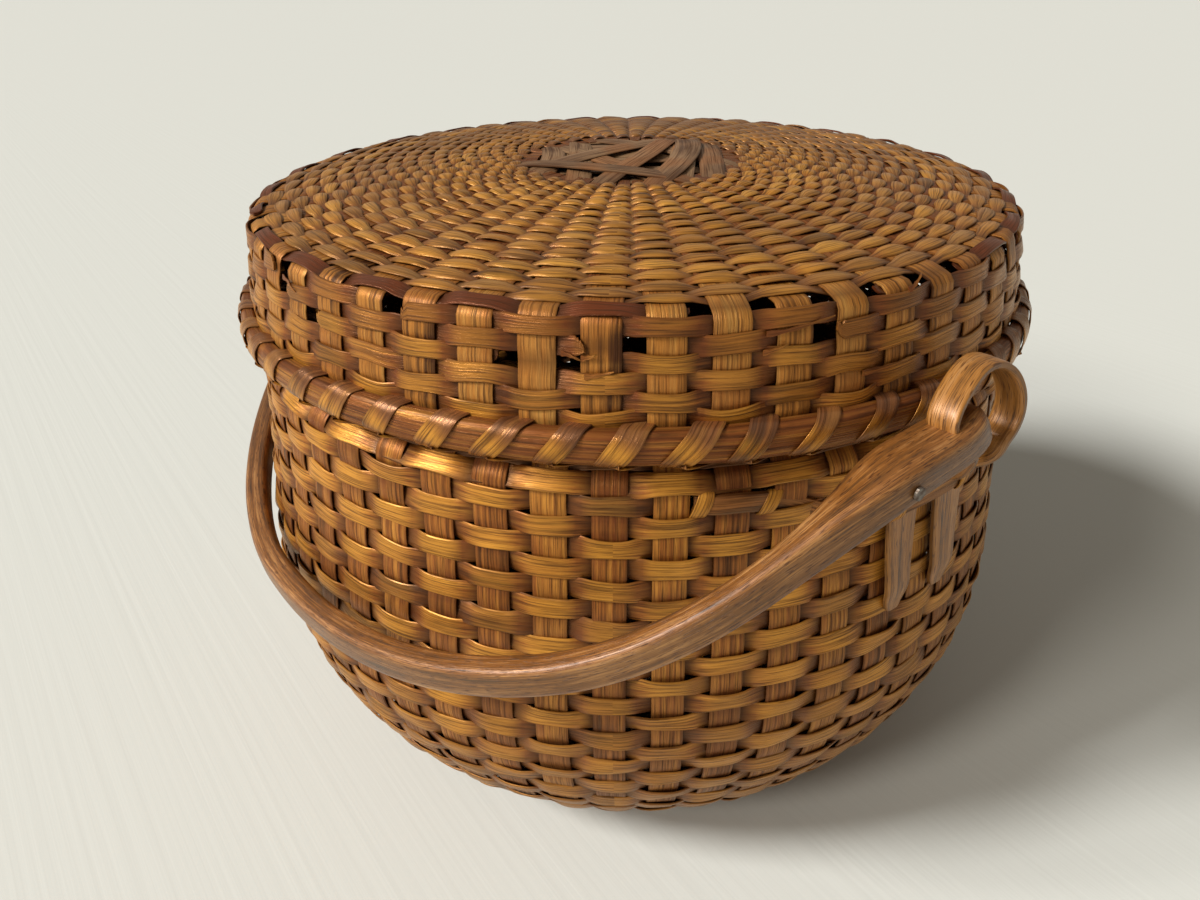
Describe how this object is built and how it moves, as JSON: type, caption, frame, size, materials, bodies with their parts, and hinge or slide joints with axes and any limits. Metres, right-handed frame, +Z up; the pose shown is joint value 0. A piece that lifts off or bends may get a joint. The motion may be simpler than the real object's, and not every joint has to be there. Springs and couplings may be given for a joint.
{
  "type": "covered splint basket",
  "caption": "Round covered basket woven of wood splints, with a lashed lift-off lid and a carved swing handle in two bentwood ears.",
  "frame": {"origin": "middle of the flat foot, on the surface that the basket stands on", "axes": "+Z up; X through the two ears, on the axis that the handle turns on; -Y is the side that the handle hangs on at rest"},
  "size_m": [0.4088, 0.3802, 0.2869],
  "materials": {
    "base_splint": "aged wood splint, worn matt",
    "body_splint": "aged wood splint under old varnish, satin",
    "dark_splint": "darkened wood splint under old varnish, satin",
    "lid_splint": "aged wood splint under old varnish, satin",
    "rim_hoop": "split and shaved hoop, satin",
    "lashing": "thin varnished splint, glossy",
    "ear_wood": "bent and shaved hardwood, satin",
    "handle_wood": "carved hardwood, hand worn, satin",
    "nail_iron": "rusted wrought nail, dull"
  },
  "bodies": {
    "basket": {"base_weave": "base_splint", "body_stakes_foot": "body_splint", "body_stakes_lower": "body_splint", "body_stakes_upper": "body_splint", "body_stakes_neck": "body_splint", "body_weaver_01": "body_splint", "body_weaver_02": "body_splint", "body_weaver_03": "body_splint", "body_weaver_04": "body_splint", "body_weaver_05": "body_splint", "body_weaver_06": "body_splint", "body_weaver_07": "body_splint", "body_weaver_08": "body_splint", "body_weaver_09": "body_splint", "body_weaver_10": "body_splint", "body_weaver_11": "body_splint", "body_weaver_12": "body_splint", "body_weaver_13": "body_splint", "body_weaver_14": "body_splint", "body_weaver_15": "body_splint", "body_weaver_16": "body_splint", "body_weaver_17": "body_splint", "body_weaver_18": "body_splint", "body_weaver_19": "body_splint", "body_weaver_20": "body_splint", "body_weaver_21": "body_splint", "body_weaver_22": "body_splint", "body_weaver_23": "body_splint", "body_weaver_24": "body_splint", "body_weaver_25": "body_splint", "body_weaver_26": "body_splint", "body_weaver_27": "body_splint", "body_weaver_28": "body_splint", "body_weaver_29": "body_splint", "body_weaver_30": "body_splint", "body_weaver_31": "body_splint", "body_weaver_32": "body_splint", "neck_band": "dark_splint", "body_rim_outer_hoop": "rim_hoop", "body_rim_inner_hoop": "rim_hoop", "body_rim_lashing": "lashing", "ear_right": "ear_wood", "ear_left": "ear_wood", "ear_band_right": "lashing", "ear_band_left": "lashing"},
    "lid": {"lid_stakes": "lid_splint", "lid_top_weave": "lid_splint", "lid_weaver_01": "dark_splint", "lid_weaver_02": "dark_splint", "lid_weaver_03": "lid_splint", "lid_weaver_04": "lid_splint", "lid_weaver_05": "lid_splint", "lid_weaver_06": "lid_splint", "lid_weaver_07": "lid_splint", "lid_rim_outer_hoop": "rim_hoop", "lid_rim_inner_hoop": "rim_hoop", "lid_rim_lashing": "lashing"},
    "swing_handle": {"handle": "handle_wood", "handle_nail_right": "nail_iron", "handle_nail_left": "nail_iron"}
  },
  "joints": [
    {"name": "lid_lift", "type": "slide", "parent": "basket", "child": "lid", "axis": [0, 0, 1], "range_m": [0, 0.1]},
    {"name": "handle_swing", "type": "hinge", "parent": "basket", "child": "swing_handle", "pos_m": [0, 0, 0.236], "axis": [-1, 0, 0], "range_deg": [0, 230]}
  ]
}
